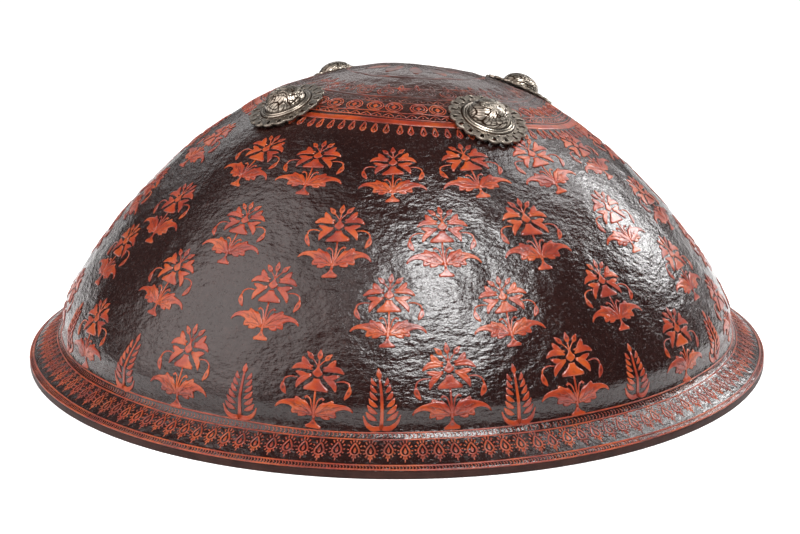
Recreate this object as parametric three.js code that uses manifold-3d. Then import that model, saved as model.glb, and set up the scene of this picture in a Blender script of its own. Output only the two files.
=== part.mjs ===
// Lacquered hide shield (dhal): a deep dome with an outward-flaring rim and four pierced metal bosses.
// Millimetres, +Z up. The origin is on the shield's axis, in the plane of the rim's underside.
import * as THREE from 'three';
import { mergeVertices } from 'three/addons/utils/BufferGeometryUtils.js';
import Module from 'manifold-3d';

const wasm = await Module();
wasm.setup();

// Shell
const rimRadius = 240;
const rimEdgeHeight = 4.5;
const rimTurnWidth = 5;
const rimLipRadius = 1.6;
const flangeSlope = THREE.MathUtils.degToRad(28);
const foldRadius = 9;
const wallThickness = 5;
const domeHeight = 180;
const domeFootRadius = 218;
const domeFootHeight = 28.8;
const domeFall = 1.151;
const domeRoundness = 2.048;
const outerDomeSteps = 12;
const innerDomeSteps = 10;
const foldSteps = 3;
const lipSteps = 2;
const shellSegments = 60;

// Bosses, each one casting: disc, moulded ring, engraved dome, shank and the button peened inside
const seatGap = 0.3;
const discThickness = 1.5;
const lobeCount = 18;
const lobeTipRadius = 24.5;
const lobeDepth = 1.8;
const pointsPerLobe = 4;
const holeCentreRadius = 20.9;
const holeHalfLength = 1.9;
const holeHalfWidth = 1.1;
const holeSides = 3;
const ringOuterRadius = 15.3;
const ringInnerRadius = 12.4;
const ringHeight = 2.6;
const bossDomeRadius = 11.6;
const bossDomeHeight = 10.6;
const bossDomeSteps = 4;
const shankRadius = 3;
const shankHoleRadius = 3.3;
const buttonRadius = 6;
const buttonHeight = 1.8;
const buttonGap = 1;
const bossSegments = 20;
const shankHoleSegments = 10;

// Where each boss stands: degrees round the axis from +X, and distance of its shank from the axis
const bossPlaces = [
  { name: 'boss_front_left', azimuth: 219, distance: 85.5 },
  { name: 'boss_front_right', azimuth: 304.2, distance: 95 },
  { name: 'boss_back_right', azimuth: 27.5, distance: 92.5 },
  { name: 'boss_back_left', azimuth: 120.5, distance: 82.5 },
];

const lacquer = new THREE.MeshStandardMaterial({ color: '#2b1714', roughness: 0.35, metalness: 0 });
const agedSilver = new THREE.MeshStandardMaterial({ color: '#9a9288', roughness: 0.4, metalness: 0.9 });

// A point on the outside of the dome. Turn 0 is its foot, a quarter turn is its top.
function domePoint(turn) {
  const radius = domeFootRadius * Math.pow(Math.cos(turn), 2 / domeRoundness);
  const rise = Math.pow(Math.sin(turn), 2 / domeFall);
  return new THREE.Vector2(radius, domeFootHeight + (domeHeight - domeFootHeight) * rise);
}

// The outward normal at such a point, from two neighbours on the curve
function domeNormal(turn) {
  const step = 1e-4;
  const ahead = domePoint(Math.min(turn + step, Math.PI / 2));
  const behind = domePoint(Math.max(turn - step, 0));
  const along = ahead.sub(behind).normalize();
  return new THREE.Vector2(along.y, -along.x);
}

// The dome's curve, foot to top, set in from the outside by depth
function domeCurve(depth, steps) {
  const points = [];
  for (let i = 0; i < steps; i += 1) {
    const turn = (i / steps) * (Math.PI / 2);
    points.push(domePoint(turn).addScaledVector(domeNormal(turn), -depth));
  }
  points.push(new THREE.Vector2(0, domeHeight - depth));
  return points;
}

function arcPoints(centreX, centreY, radius, from, to, steps) {
  const points = [];
  for (let i = 0; i <= steps; i += 1) {
    const angle = THREE.MathUtils.lerp(from, to, i / steps);
    points.push(new THREE.Vector2(centreX + radius * Math.cos(angle), centreY + radius * Math.sin(angle)));
  }
  return points;
}

// The hollow fold between the dome's foot and the flange turns about one centre outside the wall.
// Its height is where a circle of foldRadius touches both the foot and the sloping flange.
const foldCentreX = domeFootRadius + foldRadius;
const foldReach = foldRadius + (rimRadius - foldCentreX) * Math.sin(flangeSlope);
const foldCentreZ = rimEdgeHeight + foldReach / Math.cos(flangeSlope);
const wallAngle = Math.PI;
const flangeAngle = 1.5 * Math.PI - flangeSlope;

// The lip is a small arc from the flange's slope to the upright edge
function lipPoints() {
  const slopeFromUp = Math.PI / 2 - flangeSlope;
  const tangent = rimLipRadius * Math.tan(slopeFromUp / 2);
  const centreX = rimRadius - rimLipRadius;
  const centreZ = rimEdgeHeight - tangent;
  return arcPoints(centreX, centreZ, rimLipRadius, 0, slopeFromUp, lipSteps);
}

function shellOutline() {
  const inside = domeCurve(wallThickness, innerDomeSteps).reverse();
  const innerFoldRadius = foldRadius + wallThickness;
  const innerFold = arcPoints(foldCentreX, foldCentreZ, innerFoldRadius, wallAngle, flangeAngle, foldSteps);
  const foldEnd = innerFold[foldSteps];
  const turnX = rimRadius - rimTurnWidth;
  const turnZ = foldEnd.y - (turnX - foldEnd.x) * Math.tan(flangeSlope);
  const underside = [
    new THREE.Vector2(turnX, turnZ),
    new THREE.Vector2(turnX, 0),
    new THREE.Vector2(rimRadius, 0),
  ];
  const outerFold = arcPoints(foldCentreX, foldCentreZ, foldRadius, flangeAngle, wallAngle, foldSteps);
  const outside = domeCurve(0, outerDomeSteps);
  return [...inside, ...innerFold, ...underside, ...lipPoints(), ...outerFold, ...outside];
}

// Turn an outline about +Z, from a lathe that turns about +Y
function turned(outline, segments) {
  return new THREE.LatheGeometry(outline, segments).rotateX(Math.PI / 2);
}

// A closed geometry as a solid that can be joined and cut
function solidFrom(geometry) {
  const bare = geometry.index ? geometry.toNonIndexed() : geometry.clone();
  bare.deleteAttribute('normal');
  bare.deleteAttribute('uv');
  const merged = mergeVertices(bare, 1e-4);
  const corners = merged.index.array;
  const kept = [];
  for (let i = 0; i < corners.length; i += 3) {
    const [a, b, c] = [corners[i], corners[i + 1], corners[i + 2]];
    if (a !== b && b !== c && c !== a) kept.push(a, b, c);
  }
  const vertProperties = new Float32Array(merged.attributes.position.array);
  const triVerts = new Uint32Array(kept);
  return new wasm.Manifold(new wasm.Mesh({ numProp: 3, vertProperties, triVerts }));
}

function geometryFrom(solid) {
  const mesh = solid.getMesh();
  const geometry = new THREE.BufferGeometry();
  geometry.setAttribute('position', new THREE.BufferAttribute(new Float32Array(mesh.vertProperties), 3));
  geometry.setIndex(new THREE.BufferAttribute(new Uint32Array(mesh.triVerts), 1));
  geometry.computeVertexNormals();
  return geometry;
}

// The turn along the dome's curve at which it is this far from the axis
function turnAtDistance(distance) {
  return Math.acos(Math.pow(distance / domeFootRadius, domeRoundness / 2));
}

// The matrix that stands a boss, made with its foot at its own origin, on the dome
function bossMatrix(place) {
  const turn = turnAtDistance(place.distance);
  const foot = domePoint(turn);
  const normal = domeNormal(turn);
  const azimuth = THREE.MathUtils.degToRad(place.azimuth);
  const position = new THREE.Vector3(foot.x * Math.cos(azimuth), foot.x * Math.sin(azimuth), foot.y);
  const up = new THREE.Vector3(normal.x * Math.cos(azimuth), normal.x * Math.sin(azimuth), normal.y);
  const lean = new THREE.Quaternion().setFromUnitVectors(new THREE.Vector3(0, 0, 1), up);
  return new THREE.Matrix4().compose(position, lean, new THREE.Vector3(1, 1, 1));
}

// The flat disc: a scalloped edge and one long hole in each lobe
function discGeometry() {
  const outline = [];
  const pointCount = lobeCount * pointsPerLobe;
  for (let i = 0; i < pointCount; i += 1) {
    const angle = (i / pointCount) * 2 * Math.PI;
    const swell = Math.abs(Math.cos((angle * lobeCount) / 2));
    const radius = lobeTipRadius - lobeDepth * (1 - swell);
    outline.push(new THREE.Vector2(radius * Math.cos(angle), radius * Math.sin(angle)));
  }
  const shape = new THREE.Shape(outline);
  for (let lobe = 0; lobe < lobeCount; lobe += 1) {
    const angle = (lobe / lobeCount) * 2 * Math.PI;
    const hole = new THREE.Path();
    const x = holeCentreRadius * Math.cos(angle);
    const y = holeCentreRadius * Math.sin(angle);
    hole.absellipse(x, y, holeHalfLength, holeHalfWidth, 0, 2 * Math.PI, true, angle);
    shape.holes.push(hole);
  }
  const options = { depth: discThickness, bevelEnabled: false, curveSegments: holeSides };
  return new THREE.ExtrudeGeometry(shape, options).translate(0, 0, seatGap);
}

// The turned part of a boss: button, shank, moulded ring and dome, from the inside out
function bossOutline() {
  const shellInside = -wallThickness - buttonGap;
  const discTop = seatGap + discThickness;
  const ringMiddle = (ringInnerRadius + ringOuterRadius) / 2;
  const outline = [
    new THREE.Vector2(0, shellInside - buttonHeight),
    new THREE.Vector2(buttonRadius * 0.7, shellInside - buttonHeight),
    new THREE.Vector2(buttonRadius, shellInside - buttonHeight * 0.4),
    new THREE.Vector2(buttonRadius, shellInside),
    new THREE.Vector2(shankRadius, shellInside),
    new THREE.Vector2(shankRadius, seatGap),
    new THREE.Vector2(ringOuterRadius, seatGap),
    new THREE.Vector2(ringOuterRadius, discTop + ringHeight * 0.55),
    new THREE.Vector2(ringMiddle, discTop + ringHeight),
    new THREE.Vector2(ringInnerRadius, discTop + ringHeight * 0.5),
  ];
  for (let i = 0; i < bossDomeSteps; i += 1) {
    const angle = (i / bossDomeSteps) * (Math.PI / 2);
    const rise = ringHeight * 0.5 + (bossDomeHeight - ringHeight * 0.5) * Math.sin(angle);
    outline.push(new THREE.Vector2(bossDomeRadius * Math.cos(angle), discTop + rise));
  }
  outline.push(new THREE.Vector2(0, discTop + bossDomeHeight));
  return outline;
}

function shankHole() {
  const reach = 3 * wallThickness;
  const outline = [
    new THREE.Vector2(0, -reach),
    new THREE.Vector2(shankHoleRadius, -reach),
    new THREE.Vector2(shankHoleRadius, reach),
    new THREE.Vector2(0, reach),
  ];
  return turned(outline, shankHoleSegments);
}

function buildShell() {
  let solid = solidFrom(turned(shellOutline(), shellSegments));
  for (const place of bossPlaces) {
    solid = solid.subtract(solidFrom(shankHole().applyMatrix4(bossMatrix(place))));
  }
  const mesh = new THREE.Mesh(geometryFrom(solid), lacquer);
  mesh.name = 'shell';
  return mesh;
}

function buildBosses() {
  const turnedPart = solidFrom(turned(bossOutline(), bossSegments));
  const geometry = geometryFrom(turnedPart.add(solidFrom(discGeometry())));
  return bossPlaces.map((place) => {
    const mesh = new THREE.Mesh(geometry, agedSilver);
    mesh.name = place.name;
    mesh.applyMatrix4(bossMatrix(place));
    return mesh;
  });
}

const shield = new THREE.Group();
shield.add(buildShell());
shield.add(...buildBosses());

export default shield;
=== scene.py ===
import math

import bpy
import numpy as np
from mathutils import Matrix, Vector


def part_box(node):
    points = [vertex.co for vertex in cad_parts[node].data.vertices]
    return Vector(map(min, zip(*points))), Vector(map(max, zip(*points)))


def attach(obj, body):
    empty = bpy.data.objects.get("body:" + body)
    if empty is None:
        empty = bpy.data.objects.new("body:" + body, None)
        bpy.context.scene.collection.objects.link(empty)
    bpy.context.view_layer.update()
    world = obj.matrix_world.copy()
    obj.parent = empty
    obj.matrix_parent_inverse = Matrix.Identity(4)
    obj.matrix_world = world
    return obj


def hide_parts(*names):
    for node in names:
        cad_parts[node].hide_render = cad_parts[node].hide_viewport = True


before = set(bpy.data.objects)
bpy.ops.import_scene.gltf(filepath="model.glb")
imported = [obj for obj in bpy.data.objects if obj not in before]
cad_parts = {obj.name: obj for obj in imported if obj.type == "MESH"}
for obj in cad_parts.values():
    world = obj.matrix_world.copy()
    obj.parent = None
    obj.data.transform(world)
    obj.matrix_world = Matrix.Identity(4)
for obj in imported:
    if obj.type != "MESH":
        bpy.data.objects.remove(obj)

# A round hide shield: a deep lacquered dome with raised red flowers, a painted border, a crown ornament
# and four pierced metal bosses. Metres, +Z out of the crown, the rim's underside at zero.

bl_info = {
    "name": "Lacquered hide shield",
    "version": (1, 0, 0),
    "blender": (4, 5, 0),
    "location": "3D View > Sidebar > Shield",
    "description": "Builds the finish of a lacquered hide shield round its packed frame",
    "category": "Add Mesh",
}

MM = 0.001
TURN = 2.0 * math.pi
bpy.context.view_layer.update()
ROOT = "root"
BOSS_NODES = ("boss_front_left", "boss_front_right", "boss_back_right", "boss_back_left")

# The shell's outline, the same curve as the frame's solid
RIM_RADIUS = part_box("shell")[1][0]
SHIELD_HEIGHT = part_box("shell")[1][2]
RIM_EDGE_HEIGHT = 4.5 * MM
RIM_TURN_WIDTH = 5.0 * MM
RIM_LIP_RADIUS = 1.6 * MM
FLANGE_SLOPE = math.radians(28.0)
FOLD_RADIUS = 9.0 * MM
WALL = 5.0 * MM
FOOT_RADIUS = RIM_RADIUS - 22.0 * MM
FOOT_HEIGHT = 28.8 * MM
DOME_FALL = 1.151
DOME_ROUNDNESS = 2.048
FOLD_CENTRE_X = FOOT_RADIUS + FOLD_RADIUS
FOLD_REACH = FOLD_RADIUS + (RIM_RADIUS - FOLD_CENTRE_X) * math.sin(FLANGE_SLOPE)
FOLD_CENTRE_Z = RIM_EDGE_HEIGHT + FOLD_REACH / math.cos(FLANGE_SLOPE)
FLANGE_ANGLE = 1.5 * math.pi - FLANGE_SLOPE
# The rim's edge is rubbed bare of lac up to here, just under the border's lowest line
BARE_EDGE_REACH = 4.1 * MM
INSIDE_SLOT, EDGE_SLOT = 1, 2
# From here up the dome only narrows, so a radius gives one place on it
DOME_REACH = 45.0 * MM


# ---------------------------------------------------------------- the hide's surface

def dome_curve(turn, depth=0.0):
    """Points of the dome's outline, set in by depth. Turn 0 is the foot, a quarter turn the top."""
    def outside(angle):
        radius = FOOT_RADIUS * np.cos(angle) ** (2.0 / DOME_ROUNDNESS)
        rise = np.sin(angle) ** (2.0 / DOME_FALL)
        return np.stack([radius, FOOT_HEIGHT + (SHIELD_HEIGHT - FOOT_HEIGHT) * rise], axis=-1)
    step = 1e-4
    ahead = outside(np.minimum(turn + step, math.pi / 2))
    behind = outside(np.maximum(turn - step, 0.0))
    along = ahead - behind
    along /= np.linalg.norm(along, axis=-1, keepdims=True)
    normal = np.stack([along[..., 1], -along[..., 0]], axis=-1)
    return outside(turn) - depth * normal


def arc(centre_x, centre_z, radius, start, end, count):
    angle = np.linspace(start, end, count)
    return np.stack([centre_x + radius * np.cos(angle), centre_z + radius * np.sin(angle)], axis=-1)


def evenly(points, spacing):
    """The same outline with points at an even spacing, and how far along it each one is."""
    gaps = np.linalg.norm(np.diff(points, axis=0), axis=1)
    distance = np.concatenate([[0.0], np.cumsum(gaps)])
    count = max(2, int(round(distance[-1] / spacing)) + 1)
    even = np.linspace(0.0, distance[-1], count)
    return np.stack([np.interp(even, distance, points[:, k]) for k in (0, 1)], axis=-1), even


def outer_outline():
    """The outline from the rim's lower outer corner, over the lip, flange and fold, up to the crown."""
    slope_from_up = math.pi / 2 - FLANGE_SLOPE
    lip_x = RIM_RADIUS - RIM_LIP_RADIUS
    lip_z = RIM_EDGE_HEIGHT - RIM_LIP_RADIUS * math.tan(slope_from_up / 2)
    edge = np.array([[RIM_RADIUS, 0.0]])
    lip = arc(lip_x, lip_z, RIM_LIP_RADIUS, 0.0, slope_from_up, 9)
    fold = arc(FOLD_CENTRE_X, FOLD_CENTRE_Z, FOLD_RADIUS, FLANGE_ANGLE, math.pi, 17)
    dome = dome_curve(np.linspace(0.0, math.pi / 2, 1500))
    return np.concatenate([edge, lip, fold, dome])


def inner_outline():
    """The outline from the crown's inside down to the flat ring that the shield stands on."""
    dome = dome_curve(np.linspace(math.pi / 2, 0.0, 600), WALL)
    dome[0] = (0.0, SHIELD_HEIGHT - WALL)
    fold = arc(FOLD_CENTRE_X, FOLD_CENTRE_Z, FOLD_RADIUS + WALL, math.pi, FLANGE_ANGLE, 17)
    turn_x = RIM_RADIUS - RIM_TURN_WIDTH
    turn_z = fold[-1, 1] - (turn_x - fold[-1, 0]) * math.tan(FLANGE_SLOPE)
    return np.concatenate([dome, fold, [[turn_x, turn_z]]])


PROFILE, REACH = evenly(outer_outline(), 0.25 * MM)
CROWN_REACH = REACH[-1]


def smooth_normals(points, spread):
    """Outward normals of an outline, evened out over a few neighbours."""
    along = np.gradient(points, axis=0)
    normal = np.stack([along[:, 1], -along[:, 0]], axis=-1)
    window = np.ones(spread) / spread
    padded = np.pad(normal, ((spread // 2, spread // 2), (0, 0)), mode="edge")
    even = np.stack([np.convolve(padded[:, k], window, mode="valid") for k in (0, 1)], axis=-1)
    even[-1] = (0.0, 1.0)
    return even / np.linalg.norm(even, axis=1, keepdims=True)


PROFILE_NORMAL = smooth_normals(PROFILE, 5)


class Waves:
    """A smooth uneven field over space, from seeded plane waves between two wavelengths."""

    def __init__(self, seed, count, shortest, longest):
        rng = np.random.default_rng(seed)
        direction = rng.normal(size=(count, 3))
        direction /= np.linalg.norm(direction, axis=1, keepdims=True)
        length = rng.uniform(shortest, longest, count)
        self.push = direction * (TURN / length)[:, None]
        self.phase = rng.uniform(0.0, TURN, count)
        self.weight = length / length.sum()

    def at(self, points):
        total = np.zeros(points.shape[:-1])
        for push, phase, weight in zip(self.push, self.phase, self.weight):
            total += weight * np.sin(points @ push + phase)
        return total * math.sqrt(len(self.phase))


BROAD_HOLLOWS = Waves(seed=11, count=14, shortest=34 * MM, longest=80 * MM)
BEATEN_DIMPLES = Waves(seed=23, count=18, shortest=10 * MM, longest=19 * MM)
HOLLOW_DEPTH = 0.42 * MM
DIMPLE_DEPTH = 0.13 * MM
# The hide's even surface lies this far in, so that few of its swells reach the true curve
SET_BACK = 0.35 * MM


def ease(value, low, high):
    step = np.clip((value - low) / (high - low), 0.0, 1.0)
    return step * step * (3.0 - 2.0 * step)


def unevenness(points):
    """How far the hide stands off its true curve: long hollows and small beaten dimples."""
    height = points[..., 2]
    share = 0.25 * ease(height, 3 * MM, 9 * MM) + 0.75 * ease(height, 18 * MM, 40 * MM)
    hollows = HOLLOW_DEPTH * BROAD_HOLLOWS.at(points) + DIMPLE_DEPTH * BEATEN_DIMPLES.at(points)
    return share * (hollows - SET_BACK)


def on_hide(reach, angle, lift=0.0):
    """Points on the hide: distance up from the rim's edge, angle round the axis, height over the surface.

    Nothing goes past the shield's own radius and height."""
    radius, height = (np.interp(reach, REACH, PROFILE[:, k]) for k in (0, 1))
    normal_out, normal_up = (np.interp(reach, REACH, PROFILE_NORMAL[:, k]) for k in (0, 1))
    cos, sin = np.cos(angle), np.sin(angle)
    points = np.stack([radius * cos, radius * sin, height], axis=-1)
    normal = np.stack([normal_out * cos, normal_out * sin, normal_up], axis=-1)
    points = points + normal * (unevenness(points) + lift)[..., None]
    points[..., 2] = np.clip(points[..., 2], 0.0, SHIELD_HEIGHT)
    plan = np.maximum(np.hypot(points[..., 0], points[..., 1]), 1e-9)
    points[..., :2] *= np.minimum(1.0, RIM_RADIUS / plan)[..., None]
    return points


def reach_at_radius(radius):
    """How far up the dome a ring of this radius lies."""
    dome = REACH > DOME_REACH
    return np.interp(-np.asarray(radius), -PROFILE[dome, 0], REACH[dome])


def reach_at_height(height):
    return np.interp(height, PROFILE[:, 1], REACH)


def radius_at(reach):
    return np.interp(reach, REACH, PROFILE[:, 0])


# ---------------------------------------------------------------- meshes

class Stock:
    """Points, faces and a shade value per point, gathered from many small forms."""

    def __init__(self):
        self.points, self.shades, self.quads, self.tris = [], [], [], []
        self.count = 0

    def add(self, points, quads=None, tris=None, shade=0.0):
        points = np.asarray(points, dtype=float)
        self.points.append(points)
        self.shades.append(np.broadcast_to(np.asarray(shade, dtype=float), (len(points),)))
        if quads is not None and len(quads):
            self.quads.append(np.asarray(quads) + self.count)
        if tris is not None and len(tris):
            self.tris.append(np.asarray(tris) + self.count)
        self.count += len(points)

    def add_stock(self, other, points=None):
        """Another stock's forms, with its points moved."""
        points = other.all_points() if points is None else points
        self.add(points, other.all_quads(), other.all_tris(), np.concatenate(other.shades))

    def all_points(self):
        return np.concatenate(self.points)

    def all_quads(self):
        return np.concatenate(self.quads) if self.quads else np.zeros((0, 4), dtype=int)

    def all_tris(self):
        return np.concatenate(self.tris) if self.tris else np.zeros((0, 3), dtype=int)


def piece_from(name, stock, materials, nodes=(), slot_of_face=None):
    """A piece made from a stock, riding on the shield."""
    quads, tris = stock.all_quads(), stock.all_tris()
    mesh = bpy.data.meshes.new(name)
    points = stock.all_points()
    mesh.vertices.add(len(points))
    mesh.vertices.foreach_set("co", points.astype(np.float32).ravel())
    corners = np.concatenate([quads.ravel(), tris.ravel()]).astype(np.int32)
    mesh.loops.add(len(corners))
    mesh.loops.foreach_set("vertex_index", corners)
    mesh.polygons.add(len(quads) + len(tris))
    starts = np.concatenate([np.arange(len(quads)) * 4, len(quads) * 4 + np.arange(len(tris)) * 3])
    mesh.polygons.foreach_set("loop_start", starts.astype(np.int32))
    mesh.update(calc_edges=True)
    if mesh.validate():
        raise RuntimeError(f"{name}: its mesh had faulty faces")
    mesh.shade_smooth()
    shade = mesh.attributes.new("shade", "FLOAT", "POINT")
    shade.data.foreach_set("value", np.concatenate(stock.shades).astype(np.float32))
    for material in materials:
        mesh.materials.append(material)
    if slot_of_face is not None:
        mesh.polygons.foreach_set("material_index", slot_of_face.astype(np.int32))
    piece = bpy.data.objects.new(name, mesh)
    bpy.context.scene.collection.objects.link(piece)
    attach(piece, ROOT)
    if nodes:
        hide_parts(*nodes)
    return piece


def tube_quads(rings, sides, closed=False):
    """Faces between rings of the same number of points, each ring closed on itself."""
    last = rings if closed else rings - 1
    ring, side = np.meshgrid(np.arange(last), np.arange(sides), indexing="ij")
    here, there = (ring % rings) * sides, ((ring + 1) % rings) * sides
    beside = (side + 1) % sides
    return np.stack([here + side, here + beside, there + beside, there + side], axis=-1).reshape(-1, 4)


def smooth_line(knots, count):
    """A smooth line through a few knots, and its direction at each point."""
    knots = np.asarray(knots, dtype=float)
    chord = np.concatenate([[0.0], np.cumsum(np.linalg.norm(np.diff(knots, axis=0), axis=1))])
    slope = np.gradient(knots, chord, axis=0) if len(knots) > 2 else np.tile(
        (knots[-1] - knots[0]) / chord[-1], (2, 1))
    at = np.linspace(0.0, chord[-1], count)
    index = np.clip(np.searchsorted(chord, at, side="right") - 1, 0, len(knots) - 2)
    span = (chord[index + 1] - chord[index])[:, None]
    t = (at - chord[index])[:, None] / span
    line = ((2 * t ** 3 - 3 * t ** 2 + 1) * knots[index] + (t ** 3 - 2 * t ** 2 + t) * span * slope[index]
            + (-2 * t ** 3 + 3 * t ** 2) * knots[index + 1] + (t ** 3 - t ** 2) * span * slope[index + 1])
    along = np.gradient(line, axis=0)
    along /= np.linalg.norm(along, axis=1, keepdims=True) + 1e-12
    return line, along


# Sections across a raised form: where each point lies between its edges, its share of the height and its
# shade. The first and last points are sunk under the surface, and the form closes between them. A PILLOW is
# a broad form with raised edges, a CORD a plain narrow one and an INLAY a low dark one, such as a vein.
# The shade column paints shade: darkest at the sunk foot of each form and dark on its sides. An INLAY's dark
# is its own dark paint, such as a vein.
PILLOW = ((-1.0, -0.35, 1.0), (-0.92, 0.7, 0.7), (-0.7, 1.0, 0.0), (-0.3, 0.78, 0.25),
          (0.3, 0.78, 0.25), (0.7, 1.0, 0.0), (0.92, 0.7, 0.7), (1.0, -0.35, 1.0))
CORD = ((-1.0, -0.35, 1.0), (-0.7, 0.85, 0.3), (0.7, 0.85, 0.3), (1.0, -0.35, 1.0))
INLAY = ((-1.0, -0.35, 1.5), (-0.6, 1.0, 1.5), (0.6, 1.0, 1.5), (1.0, -0.35, 1.5))
# How high a blade stands, as a share of its drawn height. A narrow one stands lower still, down to
# LEAST_FULLNESS, until its half width reaches FULL_WIDTH millimetres.
RELIEF = 0.75
FULL_WIDTH = 0.9
LEAST_FULLNESS = 0.45
LEAST_HALF_WIDTH = 0.06


class Motif:
    """A flat drawing in millimetres (across, up) of raised forms, to be laid on the hide."""

    def __init__(self):
        self.stock = Stock()

    def blade(self, knots, widths, height=0.6, steps=9, section=PILLOW, mark=0.0):
        """A form along a line, with half widths at even places along it. mark darkens its middle."""
        line, along = smooth_line(knots, steps)
        place = np.linspace(0.0, 1.0, steps)
        half = np.interp(place, np.linspace(0.0, 1.0, len(widths)), widths)
        half = np.maximum(half, LEAST_HALF_WIDTH)
        fullness = np.clip(half / FULL_WIDTH, 1.0 if section is INLAY else LEAST_FULLNESS, 1.0)
        across = np.stack([along[:, 1], -along[:, 0]], axis=-1)
        section = np.asarray(section)
        flat = line[:, None, :] + across[:, None, :] * (half[:, None] * section[None, :, 0])[..., None]
        share = section[None, :, 1]
        lift = RELIEF * height * share * np.where(share > 0, fullness[:, None], 1.0)
        shade = np.broadcast_to(section[None, :, 2], lift.shape).copy()
        middle = len(section) // 2
        if mark:
            shade[:, middle - 1:middle + 1] += mark * np.exp(-((place - 0.45) / 0.14) ** 2)[:, None]
        self.close(np.concatenate([flat, lift[..., None]], axis=-1), shade)

    def loop(self, knots, half, height=0.6, steps=14):
        """A raised line that closes on itself."""
        ring = np.asarray(list(knots) + [knots[0]], dtype=float)
        wrapped = np.concatenate([ring[-3:-1], ring, ring[1:3]])  # runs on past its ends, to join smoothly
        line, along = smooth_line(wrapped, steps * 6 + 1)
        gaps = np.linalg.norm(np.diff(wrapped, axis=0), axis=1)
        chord = np.concatenate([[0.0], np.cumsum(gaps)])
        start, end = chord[2], chord[-3]
        at = np.linspace(0.0, chord[-1], steps * 6 + 1)
        want = np.linspace(start, end, steps, endpoint=False)
        line, along = (np.stack([np.interp(want, at, values[:, k]) for k in (0, 1)], axis=-1)
                       for values in (line, along))
        along /= np.linalg.norm(along, axis=1, keepdims=True)
        across = np.stack([along[:, 1], -along[:, 0]], axis=-1)
        section = np.asarray(CORD)
        flat = line[:, None, :] + across[:, None, :] * (half * section[None, :, 0])[..., None]
        lift = np.broadcast_to(height * section[None, :, 1], flat.shape[:2])
        points = np.concatenate([flat, lift[..., None]], axis=-1)
        shade = np.broadcast_to(section[None, :, 2], flat.shape[:2])
        self.stock.add(points.reshape(-1, 3), tube_quads(steps, len(section), True), shade=shade.ravel())

    def close(self, rings, shade):
        """The rings of a form as a closed body with flat ends."""
        steps, sides = rings.shape[:2]
        fan = np.array([[0, k + 1, k] for k in range(1, sides - 1)])
        far = (steps - 1) * sides + np.array([[0, k, k + 1] for k in range(1, sides - 1)])
        tris = np.concatenate([fan, far])
        self.stock.add(rings.reshape(-1, 3), tube_quads(steps, sides), tris, shade.ravel())

    def both_sides(self, knots, widths, **settings):
        """A blade and its mirror image."""
        self.blade(knots, widths, **settings)
        self.blade([(-x, y) for x, y in knots], widths, **settings)


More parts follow.
